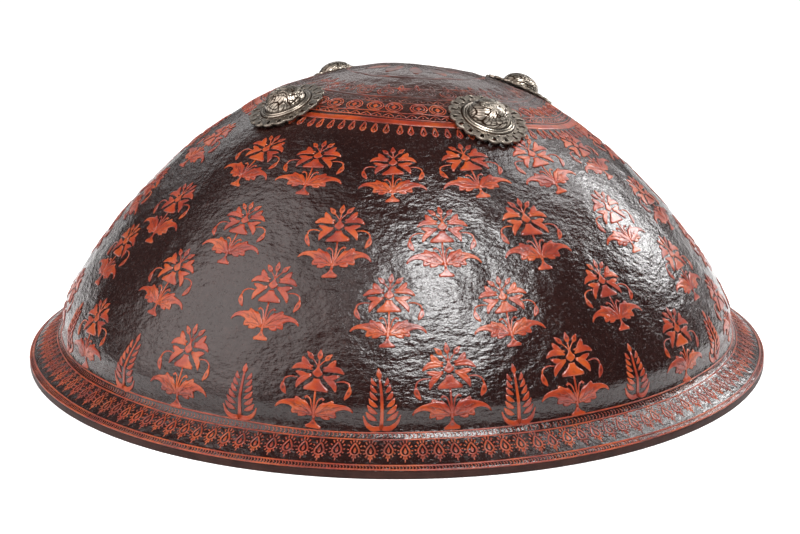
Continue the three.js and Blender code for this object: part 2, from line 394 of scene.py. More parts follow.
def flower_motif():
    """A stylised lily on a small mound, with two hooked leaves, split petals and drooping buds."""
    motif = Motif()
    # mound, stem and tendrils
    motif.blade([(0, 5.4), (0, 3.4), (0, 1.4), (0, 0.2)], [0.5, 1.0, 2.1, 4.4, 4.2], steps=9, mark=0.7)
    motif.blade([(0, 4.4), (0.1, 10), (0, 21)], [0.75, 0.6, 0.55, 0.5], height=0.55, steps=9)
    motif.both_sides([(0.2, 8.5), (1.2, 13), (2.4, 16.6), (4.0, 17.6), (5.0, 16.6)],
                     [0.35, 0.4, 0.4, 0.5, 0.75], height=0.5, steps=9, section=CORD)
    # hooked leaves, each a tongue with two lobes over it and two under it
    motif.both_sides([(0.3, 7.2), (5.0, 10.6), (10.2, 12.6), (15.5, 12.6), (18.4, 11.2), (20.0, 9.2)],
                     [0.5, 2.7, 4.1, 4.1, 2.1, 1.4, 0.9, 0.35], steps=14, mark=0.5)
    motif.both_sides([(3.0, 9.6), (4.6, 12.6), (5.2, 15.4)], [0.8, 2.2, 2.0, 0.4], height=0.55, steps=7)
    motif.both_sides([(6.4, 11.2), (8.2, 14.0), (9.6, 16.6)], [0.9, 2.3, 2.1, 0.5], height=0.56, steps=7)
    motif.both_sides([(3.4, 9.0), (6.0, 7.6), (8.2, 6.2)], [0.9, 2.1, 1.8, 0.4], height=0.54, steps=7,
                     mark=0.6)
    motif.both_sides([(7.0, 10.6), (9.6, 8.8), (11.4, 7.2)], [0.9, 2.2, 1.9, 0.45], height=0.57, steps=7,
                     mark=0.6)
    for vein in ([(1.6, 8.4), (6.0, 11.4), (13.5, 13.4)], [(2.2, 8.6), (5.4, 12.4), (8.6, 15.4)],
                 [(2.0, 8.0), (6.4, 8.9), (10.6, 8.4)]):
        motif.both_sides(vein, [0.12, 0.24, 0.2, 0.08], height=0.66, steps=6, section=INLAY)
    # bell-shaped calyx, then the heart of the flower
    motif.blade([(0, 27.8), (0, 25.6), (0, 23.0), (0, 21.0)], [1.7, 2.2, 3.4, 5.3, 6.9, 6.6], steps=9,
                mark=0.35)
    motif.blade([(0, 28.6), (0, 31.2), (0.1, 35.5)], [0.4, 2.6, 2.9, 1.2, 0.7, 0.5], steps=10, mark=0.5)
    # split petals, two prongs each
    motif.both_sides([(2.6, 34.2), (5.0, 34.4), (7.2, 36.2), (8.6, 38.9)], [0.4, 0.9, 1.9, 1.7, 0.4], steps=8)
    motif.both_sides([(2.8, 32.4), (6.2, 33.6), (10.0, 33.6), (13.6, 31.2)], [0.35, 1.4, 1.9, 1.4, 0.35],
                     steps=9)
    motif.both_sides([(3.0, 29.8), (6.0, 28.8), (8.6, 29.4), (11.4, 30.2)], [0.35, 1.1, 1.8, 1.3, 0.4],
                     steps=8)
    motif.both_sides([(3.0, 29.2), (6.4, 27.4), (9.0, 25.0), (10.4, 21.4)], [0.35, 1.3, 1.8, 1.4, 0.35],
                     steps=9)
    # three buds on stalks over the flower
    motif.blade([(0.1, 34.5), (0.2, 39.4)], [0.5, 0.4], height=0.5, steps=4, section=CORD)
    motif.both_sides([(0.3, 34.8), (2.0, 37.0), (3.6, 38.8)], [0.45, 0.35, 0.35], height=0.5, steps=5,
                     section=CORD)
    motif.blade([(0.2, 38.4), (0.3, 41.4), (0.4, 44.2)], [0.4, 1.5, 1.6, 0.9, 0.25], steps=8, mark=0.9)
    motif.both_sides([(3.2, 38.2), (4.8, 40.2), (6.6, 42.0)], [0.4, 1.4, 1.5, 0.9, 0.25], steps=8, mark=0.9)
    # a drooping bud on a bent stalk at each side
    motif.both_sides([(10.0, 26.9), (13.6, 27.0), (16.6, 25.4), (17.4, 22.4)], [0.35, 0.45, 0.5, 0.5],
                     height=0.55, steps=9, section=CORD)
    motif.both_sides([(17.4, 23.2), (17.0, 20.0), (15.2, 16.8)], [0.5, 1.3, 1.6, 1.2, 0.3], steps=8, mark=0.9)
    return motif


def cypress_motif():
    """A small cypress: a stem, teardrop leaves that slant up to each side, and a foot with turned-up ends."""
    motif = Motif()
    motif.blade([(0, 0.4), (0, 14), (0, 27.5)], [1.1, 0.9, 0.75, 0.55], height=0.6, steps=8)
    motif.blade([(0, 26.0), (0, 28.4), (0, 31.2)], [0.5, 1.4, 1.5, 0.8, 0.25], steps=8)
    leaves = 6
    for i in range(leaves):
        share = i / (leaves - 1)
        root = (2.5 - 0.6 * share, 5.0 + 17.4 * share)
        tip = (8.1 - 4.1 * share, root[1] + 4.4 - 0.4 * share)
        bend = ((root[0] + tip[0]) / 2 + 0.6, (root[1] + tip[1]) / 2 - 0.5)
        broad = 1.45 - 0.4 * share
        motif.both_sides([root, bend, tip], [0.2, 0.7 * broad, broad, broad, 0.6 * broad, 0.2], steps=7)
    motif.both_sides([(0.4, 0.9), (4.2, 0.7), (7.6, 3.2), (9.4, 7.4)], [1.2, 1.5, 1.3, 0.8, 0.3], steps=9)
    return motif


def border_flower_motif():
    """One head of the rim's border: a seed in a drop-shaped ring with short rays, on a stub of stalk."""
    motif = Motif()
    motif.blade([(0, -1.9), (0, 0), (0, 1.9)], [0.15, 0.75, 0.8, 0.5, 0.15], height=0.32, steps=5)
    motif.loop([(0, -3.1), (1.85, -2.1), (2.35, -0.2), (1.4, 2.3), (0, 4.5), (-1.4, 2.3), (-2.35, -0.2),
                (-1.85, -2.1)], half=0.52, height=0.3)
    rays = 14
    for i in range(rays):
        angle = math.pi / 2 + (i + 0.5) / rays * TURN
        cos, sin = math.cos(angle), math.sin(angle)
        stretch = 4.6 if sin > 0 else 3.8
        inner = (3.0 * cos, 0.45 + stretch * 1.02 * sin)
        outer = (4.05 * cos, 0.45 + stretch * 1.5 * sin)
        motif.blade([inner, outer], [0.3, 0.55], height=0.28, steps=2, section=CORD)
    motif.blade([(0, -3.3), (0, -7.0)], [0.4, 0.4], height=0.28, steps=2, section=CORD)
    return motif


def chevron_motif(reach, spread, half):
    """One angled stroke of the rim's plaited lines."""
    motif = Motif()
    for side in (-1, 1):
        motif.blade([(-spread, side * reach), (spread, 0.0)], [half, half], height=0.26, steps=2,
                    section=CORD)
    return motif


def drop_motif():
    """A hanging drop with a dark eye, its point at the top."""
    motif = Motif()
    motif.loop([(0, 0), (-1.0, -3.4), (-1.5, -6.0), (0, -7.9), (1.5, -6.0), (1.0, -3.4)], half=0.6,
               height=0.35, steps=16)
    motif.blade([(0, -4.6), (0, -6.6)], [0.25, 0.6, 0.25], height=0.3, steps=4)
    return motif


def medallion_motif():
    """A round medallion: two rings about a lozenge."""
    motif = Motif()
    for radius, half in ((5.0, 0.42), (3.5, 0.36)):
        motif.loop([(radius * math.cos(a / 6 * TURN), radius * math.sin(a / 6 * TURN)) for a in range(6)],
                   half=half, height=0.3, steps=20)
    motif.blade([(0, -2.1), (0, 0), (0, 2.1)], [0.2, 1.7, 0.2], height=0.35, steps=5)
    return motif


def arch_motif(pitch):
    """One tooth of a zigzag line with a bead under it."""
    motif = Motif()
    motif.blade([(-pitch / 2, -1.5), (0, 1.5), (pitch / 2, -1.5)], [0.38, 0.42, 0.38], height=0.28, steps=5,
                section=CORD)
    motif.blade([(0, -1.8), (0, -0.4)], [0.3, 0.6, 0.3], height=0.26, steps=4, section=CORD)
    return motif


class Laying:
    """Lays drawings on the hide by hand: each a little turned, stretched and bent."""

    def __init__(self, seed):
        self.rng = np.random.default_rng(seed)

    def lay(self, target, motif, reach, angle, looseness=1.0, size=1.0, mirror=False):
        """Adds a motif to the target stock, its foot at a reach and an angle."""
        points = motif.stock.all_points().copy()
        if mirror:
            points[:, 0] *= -1.0
        rng = self.rng
        lean = rng.normal(0.0, 0.035 * looseness)
        wide, tall = size * (1.0 + rng.normal(0.0, 0.03 * looseness, 2))
        bend = rng.normal(0.0, 0.5 * looseness, 4)
        wave_phase = rng.uniform(0.0, TURN, 4)
        across, up, lift = points[:, 0] * wide, points[:, 1] * tall, points[:, 2]
        across = (across + bend[0] * np.sin(up / 9.0 + wave_phase[0])
                  + bend[1] * np.sin(up / 5.0 + wave_phase[1]) * 0.3)
        up = (up + bend[2] * np.sin(across / 7.0 + wave_phase[2])
              + bend[3] * np.sin(across / 4.0 + wave_phase[3]) * 0.3)
        across, up = across + lean * up, up - lean * across
        where = reach + up * MM
        turn = angle + across * MM / radius_at(where)
        target.add_stock(motif.stock, on_hide(where, turn, lift * MM))


# The crown's painted rings are ovals, a little off the shield's axis
CROWN_CENTRE = (0.05 * RIM_RADIUS, 0.021 * RIM_RADIUS)
CROWN_HALF = (0.44 * RIM_RADIUS, 0.42 * RIM_RADIUS)


def on_crown(scale, angle, across, up, lift):
    """Points by a crown ring: its scale, the angle round it, then metres along it, up and out."""
    along = np.stack([-CROWN_HALF[0] * np.sin(angle), CROWN_HALF[1] * np.cos(angle)], axis=-1)
    along /= np.linalg.norm(along, axis=-1, keepdims=True)
    out = np.stack([along[..., 1], -along[..., 0]], axis=-1)
    base = np.stack([CROWN_CENTRE[0] + scale * CROWN_HALF[0] * np.cos(angle),
                     CROWN_CENTRE[1] + scale * CROWN_HALF[1] * np.sin(angle)], axis=-1)
    slope = np.gradient(PROFILE[:, 0], REACH)
    share = np.abs(np.interp(reach_at_radius(np.hypot(base[..., 0], base[..., 1])), REACH, slope))
    plan = base + along * across[..., None] - out * (up * share)[..., None]
    radius = np.hypot(plan[..., 0], plan[..., 1])
    return on_hide(reach_at_radius(radius), np.arctan2(plan[..., 1], plan[..., 0]), lift)


def ring_stock(stock, place, half, height, count, wobble, rng):
    """A raised line round the shield, laid by place(angle, across in metres, lift in metres)."""
    angle = np.arange(count) / count * TURN
    drift = sum(rng.normal(0.0, wobble) * np.sin(k * angle + rng.uniform(0.0, TURN)) for k in (2, 5, 9, 14))
    section = np.asarray(CORD)
    across = drift[:, None] + half * section[None, :, 0]
    lift = np.broadcast_to(height * section[None, :, 1], across.shape)
    points = place(np.broadcast_to(angle[:, None], across.shape), across * MM, lift * MM)
    shade = np.broadcast_to(section[None, :, 2], across.shape)
    stock.add(points.reshape(-1, 3), tube_quads(count, len(section), True), shade=shade.ravel())


# ---------------------------------------------------------------- materials

BLACK, WHITE = (0.0, 0.0, 0.0, 1.0), (1.0, 1.0, 1.0, 1.0)


def linear(code):
    """An sRGB hex code as linear red, green, blue and alpha."""
    parts = [int(code[i:i + 2], 16) / 255.0 for i in (0, 2, 4)]
    return tuple(p / 12.92 if p <= 0.04045 else ((p + 0.055) / 1.055) ** 2.4 for p in parts) + (1.0,)


def add_node(tree, kind, output=None, inputs=None, stops=(), **settings):
    """A new node's named output, or the node. Each input is set to a value or linked to another's output."""
    node = tree.nodes.new(kind)
    for name, value in settings.items():
        setattr(node, name, value)
    for name, value in (inputs or {}).items():
        if isinstance(value, bpy.types.NodeSocket):
            tree.links.new(value, node.inputs[name])
        else:
            node.inputs[name].default_value = value
    if stops:
        elements = node.color_ramp.elements
        elements[0].position, elements[0].color = stops[0]
        elements[1].position, elements[1].color = stops[-1]
        for place, colour in stops[1:-1]:
            elements.new(place).color = colour
    return node if output is None else node.outputs[output]


def new_material(name):
    """An empty material, its nodes, and the object coordinates that its patterns are laid in."""
    material = bpy.data.materials.new(name)
    material.use_nodes = True
    tree = material.node_tree
    tree.nodes.clear()
    return material, tree, add_node(tree, "ShaderNodeTexCoord", "Object")


def blotches(place, size, detail=3.0, roughness=0.5):
    """Inputs for a pattern whose blotches are about this many millimetres across."""
    return {"Vector": place, "Scale": 1.0 / (size * MM), "Detail": detail, "Roughness": roughness}


def hide_grain(tree, place, strength, depth):
    """Bump of lacquered hide: pebbles of 5.5 mm, grain of 2.6 mm and swells of 9 mm, all drawn out round the
    shield by the brush. Hide's true grain is under 1 mm, so it is drawn as coarse as it needs to show."""
    drawn = add_node(tree, "ShaderNodeMapping", "Vector", {"Vector": place, "Scale": (1.0, 1.0, 2.0)})
    pebbles = add_node(tree, "ShaderNodeTexVoronoi", "Distance",
                       {"Vector": drawn, "Scale": 1.0 / (5.5 * MM), "Smoothness": 0.8}, feature="SMOOTH_F1")
    grain = add_node(tree, "ShaderNodeTexNoise", "Fac", blotches(drawn, 2.6, 4.0, 0.55))
    swells = add_node(tree, "ShaderNodeTexNoise", "Fac", blotches(drawn, 9.0, 2.0))
    low, middle, high = [
        add_node(tree, "ShaderNodeMath", "Value", {0: layer, 1: weight}, operation="MULTIPLY")
        for layer, weight in ((pebbles, -0.7), (grain, 1.1), (swells, 1.2))]
    fine = add_node(tree, "ShaderNodeMath", "Value", {0: low, 1: middle}, operation="ADD")
    height = add_node(tree, "ShaderNodeMath", "Value", {0: fine, 1: high}, operation="ADD")
    return add_node(tree, "ShaderNodeBump", "Normal", {"Height": height, "Strength": strength,
                                                       "Distance": depth * MM})


def lacquered_hide_material(colours):
    """Dark lac over moulded hide, brushed on thick and polished: nearly black, with a wet, broken gloss.
    Brown clouds and flecks show through, most of all at the crown, which is rubbed and lightened towards the
    top by a painted sheen."""
    material, tree, place = new_material("dark_lacquer_over_hide")
    wear_and_sheen = add_node(tree, "ShaderNodeAttribute", "Fac", attribute_name="shade")
    clouds = add_node(tree, "ShaderNodeTexNoise", "Fac", blotches(place, 45, 4.0, 0.6))
    flecks = add_node(tree, "ShaderNodeTexNoise", "Fac", blotches(place, 3.0, 3.0, 0.65))
    ground = add_node(tree, "ShaderNodeMix", 2, {0: clouds, 6: colours.ground, 7: colours.ground_warm},
                      data_type="RGBA")
    sharp = add_node(tree, "ShaderNodeValToRGB", "Color", {"Fac": flecks}, [(0.56, BLACK), (0.72, WHITE)])
    faint = add_node(tree, "ShaderNodeMath", "Value", {0: sharp, 1: 0.35}, operation="MULTIPLY")
    flecked = add_node(tree, "ShaderNodeMix", 2, {0: faint, 6: ground, 7: colours.worn_and_sheen_ground},
                       data_type="RGBA")
    broken = add_node(tree, "ShaderNodeMath", "Value", {0: flecks, 1: 0.35}, operation="ADD", use_clamp=True)
    # The shade attribute lightens the ground: rubbing at the rim's edge, and at the crown rubbing together
    # with a painted sheen.
    rubbed = add_node(tree, "ShaderNodeMath", "Value", {0: wear_and_sheen, 1: broken}, operation="MULTIPLY",
                      use_clamp=True)
    colour = add_node(tree, "ShaderNodeMix", 2, {0: rubbed, 6: flecked, 7: colours.worn_and_sheen_ground},
                      data_type="RGBA")
    polish = add_node(tree, "ShaderNodeTexNoise", "Fac", blotches(place, 14))
    gloss = add_node(tree, "ShaderNodeMapRange", "Result", {"Value": polish, "To Min": 0.12, "To Max": 0.24})
    specks = add_node(tree, "ShaderNodeTexNoise", "Fac", blotches(place, 1.7))
    pits = add_node(tree, "ShaderNodeValToRGB", "Color", {"Fac": specks}, [(0.56, BLACK), (0.66, WHITE)])
    dulled = add_node(tree, "ShaderNodeMath", "Value", {0: pits, 1: 0.16}, operation="MULTIPLY")
    roughness = add_node(tree, "ShaderNodeMath", "Value", {0: gloss, 1: dulled}, operation="ADD",
                         use_clamp=True)
    shader = add_node(tree, "ShaderNodeBsdfPrincipled", "BSDF", {
        "Base Color": colour, "Roughness": roughness, "IOR": 1.5,
        "Normal": hide_grain(tree, place, 0.6, 0.6)})
    add_node(tree, "ShaderNodeOutputMaterial", inputs={"Surface": shader})
    return material


def plain_hide_material(name, colours, cloud_size, cloud_detail, roughness, shine):
    """Hide with little or no lac: a brown-black that clouds gently, with brush marks and a dull surface."""
    material, tree, place = new_material(name)
    clouds = add_node(tree, "ShaderNodeTexNoise", "Fac", blotches(place, cloud_size, cloud_detail, 0.6))
    colour = add_node(tree, "ShaderNodeMix", 2, {0: clouds, 6: colours.ground, 7: colours.worn_and_sheen_ground},
                      data_type="RGBA")
    shader = add_node(tree, "ShaderNodeBsdfPrincipled", "BSDF", {
        "Base Color": colour, "Roughness": roughness, "IOR": 1.5, "Specular IOR Level": shine,
        "Normal": hide_grain(tree, place, 0.5, 0.4)})
    add_node(tree, "ShaderNodeOutputMaterial", inputs={"Surface": shader})
    return material


def inside_lacquer_material(colours):
    """Thin dark lac brushed once over the inside of the hide: plainer and duller than the outside."""
    return plain_hide_material("plain_lacquer_inside", colours, 30, 5.0, 0.45, 0.5)


def rubbed_edge_material(colours):
    """Hide rubbed bare of its lac along the rim's edge by being set down: dark, with hardly any shine."""
    return plain_hide_material("rubbed_hide_edge", colours, 9, 4.0, 0.55, 0.1)


def red_lacquer_material(name, colours, faded, roughness=0.3):
    """Red lac painted by hand over raised gesso: uneven orange to crimson with a low gloss, painted shade in
    deep red at the foot of each form, dark painted marks, dirty in specks, and more of the dark ground
    showing the more it is faded."""
    material, tree, place = new_material(name)
    shade = add_node(tree, "ShaderNodeAttribute", "Fac", attribute_name="shade")
    patches = add_node(tree, "ShaderNodeTexNoise", "Fac", blotches(place, 12, 2.0))
    body = add_node(tree, "ShaderNodeValToRGB", "Color", {"Fac": patches},
                    [(0.36, colours.crimson), (0.5, colours.red), (0.64, colours.orange)])
    specks = add_node(tree, "ShaderNodeTexNoise", "Fac", blotches(place, 2.0, 3.0, 0.6))
    losses = add_node(tree, "ShaderNodeTexNoise", "Fac", blotches(place, 16, 5.0, 0.7))
    shift = 0.2 * faded
    colour = body
    # Painted shade: the shade attribute darkens the foot and sides of each raised form towards deep red; it
    # also darkens real painted marks and veins.
    for factor, low, high, strength, over in (
            (shade, 0.45, 0.9, 0.75, colours.deep_red_and_painted_shade), (specks, 0.55, 0.75, 0.4, colours.ground_warm),
            (losses, 0.52 - shift, 0.78 - shift, 0.25 + 0.5 * faded, colours.ground_warm)):
        sharp = add_node(tree, "ShaderNodeValToRGB", "Color", {"Fac": factor}, [(low, BLACK), (high, WHITE)])
        share = add_node(tree, "ShaderNodeMath", "Value", {0: sharp, 1: strength}, operation="MULTIPLY")
        colour = add_node(tree, "ShaderNodeMix", 2, {0: share, 6: colour, 7: over}, data_type="RGBA")
    shader = add_node(tree, "ShaderNodeBsdfPrincipled", "BSDF", {
        "Base Color": colour, "Roughness": roughness, "IOR": 1.5,
        "Normal": hide_grain(tree, place, 0.45, 0.35)})
    add_node(tree, "ShaderNodeOutputMaterial", inputs={"Surface": shader})
    return material


def aged_silver_material(colours):
    """Silver raised and chased by hand, then long handled: bright on high places, brown-black in recesses.
    Its scratches are drawn 0.9 mm apart, coarser than real ones, so that they show."""
    material, tree, place = new_material("aged_silver")
    shade = add_node(tree, "ShaderNodeAttribute", "Fac", attribute_name="shade")
    clouds = add_node(tree, "ShaderNodeTexNoise", "Fac", blotches(place, 5, 4.0, 0.65))
    around_zero = add_node(tree, "ShaderNodeMath", "Value", {0: clouds, 1: 0.5}, operation="SUBTRACT")
    drift = add_node(tree, "ShaderNodeMath", "Value", {0: around_zero, 1: 0.9}, operation="MULTIPLY")
    dirt = add_node(tree, "ShaderNodeMath", "Value", {0: shade, 1: drift}, operation="ADD", use_clamp=True)
    colour = add_node(tree, "ShaderNodeValToRGB", "Color", {"Fac": dirt},
                      [(0.12, colours.silver), (0.45, colours.silver_dull), (0.85, colours.silver_brown)])
    roughness = add_node(tree, "ShaderNodeMapRange", "Result", {"Value": dirt, "To Min": 0.27, "To Max": 0.6})
    scratches = add_node(tree, "ShaderNodeTexNoise", "Fac", blotches(place, 0.9, 2.0))
    scratched = add_node(tree, "ShaderNodeBump", "Normal",
                         {"Height": scratches, "Strength": 0.25, "Distance": 0.12 * MM})
    shader = add_node(tree, "ShaderNodeBsdfPrincipled", "BSDF", {
        "Base Color": colour, "Metallic": 1.0, "Roughness": roughness, "Normal": scratched})
    add_node(tree, "ShaderNodeOutputMaterial", inputs={"Surface": shader})
    return material


def floor_material():
    """Smooth matt white card on a light table: an even pale white that glows a little."""
    material, tree, place = new_material("studio_card")
    clouds = add_node(tree, "ShaderNodeTexNoise", "Fac", blotches(place, 500))
    colour = add_node(tree, "ShaderNodeValToRGB", "Color", {"Fac": clouds},
                      [(0.0, linear("F6F6F6")), (1.0, linear("FBFBFB"))])
    shader = add_node(tree, "ShaderNodeBsdfPrincipled", "BSDF", {
        "Base Color": colour, "Roughness": 0.9, "Emission Color": WHITE, "Emission Strength": 0.4})
    add_node(tree, "ShaderNodeOutputMaterial", inputs={"Surface": shader})
    return material


# ---------------------------------------------------------------- settings

def colour_setting(name, description, code):
    return bpy.props.FloatVectorProperty(name=name, description=description, default=linear(code), size=4,
                                         min=0.0, max=1.0, subtype="COLOR")


class ShieldColours(bpy.types.PropertyGroup):
    """The colours of the finishes."""
    ground: colour_setting("Ground", "Dark lacquer in its blackest places", "110606")
    ground_warm: colour_setting("Warm ground", "Dark lacquer where brown shows through", "240F0C")
    # Also painted on the crown, lighter towards the top, as a painted sheen together with real rubbing
    worn_and_sheen_ground: colour_setting("Worn ground", "Hide where the lacquer is rubbed thin", "3E2722")
    orange: colour_setting("Orange", "Brightest places of the raised flowers", "9A4013")
    red: colour_setting("Red", "Body of the raised flowers", "8C3012")
    crimson: colour_setting("Crimson", "Coolest red of the raised flowers", "762312")
    # Deep red also paints the shade at the foot and sides of each raised form
    deep_red_and_painted_shade: colour_setting("Deep red", "Painted marks and the foot of each raised edge", "3A0E09")
    silver: colour_setting("Silver", "Polished high places of the bosses", "A59C90")
    silver_dull: colour_setting("Dull silver", "Tarnished flats of the bosses", "635A51")
    silver_brown: colour_setting("Brown tarnish", "Dirt in the recesses of the bosses", "2A1E16")


class ShieldSizes(bpy.types.PropertyGroup):
    """The sizes and numbers of the decoration."""
    columns: bpy.props.IntProperty(name="Columns", description="Faces round the shell", default=480, min=60)
    flowers: bpy.props.IntProperty(name="Flowers", description="Flowers in each row", default=17, min=3)
    border_heads: bpy.props.IntProperty(name="Border heads", description="Flower heads round the rim",
                                        default=166, min=10)
    lobes: bpy.props.IntProperty(name="Lobes", description="Lobes round each boss's disc", default=18, min=6)
    floor_width: bpy.props.FloatProperty(name="Floor", description="Width of the studio floor", default=12.0,
                                         unit="LENGTH")


def settings():
    return bpy.context.scene.shield_sizes, bpy.context.scene.shield_colours


# ---------------------------------------------------------------- operators

def shell_rows(columns):
    """Rings of points from the crown's inside, down and round the rim, up to the crown, with what each is.

    Gives the rings, their rubbing and painted sheen, how many lie inside or underneath, and how many make up
    the bare edge."""
    angle = np.arange(columns) / columns * TURN
    reaches = np.concatenate([[0.0, 0.2 * MM], np.linspace(2.4 * MM, 9 * MM, 9)[:-1],
                              np.linspace(9 * MM, CROWN_REACH - 1.0 * MM, 124)])
    outside = [on_hide(np.full(columns, reach), angle) for reach in reaches]
    # At the crown the colour turns lighter towards the top: part real rubbing, part painted sheen. Near the
    # rim's edge it is rubbing only.
    wear_and_sheen = [np.clip(0.15 - 0.15 * ease(reach, 3.4 * MM, 5.2 * MM)
                    + 0.6 * ease(ring[:, 2], 148 * MM, 172 * MM), 0.0, 1.0)
            for reach, ring in zip(reaches, outside)]
    inner_even, _ = evenly(inner_outline()[::-1], 7.0 * MM)
    foot_ring = RIM_RADIUS - RIM_TURN_WIDTH
    underside = np.concatenate([[[RIM_RADIUS - 0.2 * MM, 0.0], [foot_ring + 0.2 * MM, 0.0], [foot_ring, 0.0]],
                                inner_even[:-1]])
    inside = [np.stack([radius * np.cos(angle), radius * np.sin(angle), np.full(columns, height)], axis=-1)
              for radius, height in underside[::-1]]
    bare = np.count_nonzero(reaches < BARE_EDGE_REACH) - 1
    return inside + outside, [np.zeros(columns)] * len(inside) + wear_and_sheen, len(inside), bare


class SHIELD_OT_shell(bpy.types.Operator):
    """Build the hide shell with its uneven lacquered surface"""
    bl_idname = "shield.shell"
    bl_label = "Shell"

    def execute(self, context):
        sizes, colours = settings()
        columns = sizes.columns
        rings, wear_and_sheen, inside, bare = shell_rows(columns)
        stock = Stock()
        quads = tube_quads(len(rings), columns)
        stock.add(np.concatenate(rings), quads, shade=np.concatenate(wear_and_sheen))
        # the crown's outer and inner middle points close the last ring and the first
        crown = on_hide(np.array([CROWN_REACH]), np.array([0.0]))
        hollow = np.array([[0.0, 0.0, SHIELD_HEIGHT - WALL]])
        around = np.arange(columns)
        beside = (around + 1) % columns
        first = -len(rings) * columns
        crown_cap = np.stack([around - columns, beside - columns, np.full(columns, 0)], axis=-1)
        hollow_cap = np.stack([beside + first, around + first, np.full(columns, 1)], axis=-1)
        stock.add(np.concatenate([crown, hollow]), tris=np.concatenate([crown_cap, hollow_cap]))
        slot_of_face = np.zeros(len(quads) + 2 * columns)
        slot_of_face[:inside * columns] = INSIDE_SLOT
        slot_of_face[inside * columns:(inside + bare) * columns] = EDGE_SLOT
        slot_of_face[len(quads) + columns:] = INSIDE_SLOT
        materials = [lacquered_hide_material(colours), inside_lacquer_material(colours),
                     rubbed_edge_material(colours)]
        piece_from("hide_shell", stock, materials, ["shell"], slot_of_face)
        return {"FINISHED"}


# Rows of flowers from the crown down: height of their feet as a share of the rim's radius, how far the row
# dips to one side in mm, and the degrees round of the flowers on the front, which are listed one by one. The
# others in a row share what is left of the circle evenly.
FLOWER_ROWS = (
    {"name": "flowers_first_row", "foot": 0.506, "lean": 3.2, "size": 0.97,
     "front": (200.6, 229.3, 248.4, 269.2, 289.3, 310.1, 331.9)},
    {"name": "flowers_second_row", "foot": 0.363, "lean": 2.6, "size": 1.0,
     "front": (214.9, 237.6, 258.5, 278.7, 296.8, 320.3)},
    {"name": "flowers_third_row", "foot": 0.230, "lean": 4.0, "size": 1.0,
     "front": (227.2, 249.2, 268.7, 287.6, 307.7, 330.7)},
    {"name": "flowers_fourth_row", "foot": 0.070, "lean": 0.0, "size": 1.02,
     "front": (213.9, 237.2, 258.7, 277.6, 296.1, 319.1)},
)
CYPRESS_ROW = {"name": "cypresses", "foot": 0.074, "lean": 0.0, "size": 1.0,
               "front": (226.0, 248.0, 268.0, 287.0, 307.0, 330.0)}


def places_round(front, count):
    """The angles of a row's motifs: those listed, then the rest spread over the remaining arc."""
    if count < len(front):
        raise ValueError(f"a row needs at least {len(front)} motifs")
    gap = (360.0 - (front[-1] - front[0])) / (count - len(front) + 1)
    rest = [front[-1] + gap * (i + 1) for i in range(count - len(front))]
    return [math.radians(degrees) for degrees in (*front, *rest)]


def row_stock(row, motif, count, seed):
    """One row of a motif laid round the shield."""
    laying = Laying(seed=seed)
    stock = Stock()
    foot = reach_at_height(row["foot"] * RIM_RADIUS)
    for i, angle in enumerate(places_round(row["front"], count)):
        dip = row["lean"] * MM * math.cos(angle)
        laying.lay(stock, motif, foot - dip + laying.rng.normal(0.0, 0.4 * MM), angle, size=row["size"],
                   mirror=i % 2 == 1)
    return stock


class SHIELD_OT_flowers(bpy.types.Operator):
    """Lay the four rows of raised flowers and the row of cypresses"""
    bl_idname = "shield.flowers"
    bl_label = "Flowers"

    def execute(self, context):
        sizes, colours = settings()
        material = red_lacquer_material("red_lacquer_raised", colours, faded=0.0)
        motif = flower_motif()
        for number, row in enumerate(FLOWER_ROWS):
            piece_from(row["name"], row_stock(row, motif, sizes.flowers, 100 + number), [material])
        piece_from(CYPRESS_ROW["name"], row_stock(CYPRESS_ROW, cypress_motif(), sizes.flowers, 140),
                   [material])
        return {"FINISHED"}


# The border, in millimetres up from the rim's edge: each line's reach and half width, the plaits between
# two lines, and the heads in the middle
BORDER_LINES = ((4.6, 0.5), (7.6, 0.55), (24.3, 0.5), (28.4, 0.5))
LOWER_PLAIT_REACH, UPPER_PLAIT_REACH = 6.1, 26.35
HEADS_REACH = 16.7


class SHIELD_OT_border(bpy.types.Operator):
    """Lay the painted border of flower heads between plaited lines round the rim"""
    bl_idname = "shield.border"
    bl_label = "Border"

    def execute(self, context):
        sizes, colours = settings()
        material = red_lacquer_material("red_lacquer_border", colours, faded=0.55, roughness=0.4)
        rng = np.random.default_rng(200)
        lines = Stock()
        for reach, half in BORDER_LINES:
            ring_stock(lines, lambda angle, across, lift: on_hide(reach * MM + across, angle, lift), half,
                       0.3, 720, 0.18, rng)
        for count, reach, motif in ((900, LOWER_PLAIT_REACH, chevron_motif(1.1, 0.35, 0.27)),
                                    (640, UPPER_PLAIT_REACH, chevron_motif(1.4, 0.5, 0.24))):
            laying = Laying(seed=int(210 + reach))
            for i in range(count):
                laying.lay(lines, motif, reach * MM, i / count * TURN, looseness=0.25)
        piece_from("border_lines", lines, [material])
        laying = Laying(seed=230)
        heads = Stock()
        head = border_flower_motif()
        for i in range(sizes.border_heads):
            laying.lay(heads, head, (HEADS_REACH + laying.rng.normal(0.0, 0.25)) * MM,
                       i / sizes.border_heads * TURN, looseness=0.6)
        piece_from("border_flower_heads", heads, [material])
        return {"FINISHED"}


# The worn rings near the top: a motif's share of its height that is left, and a line's height in millimetres
WORN_HEIGHT = 0.45
WORN_LINE = 0.14
ROSETTE_PETALS = 12


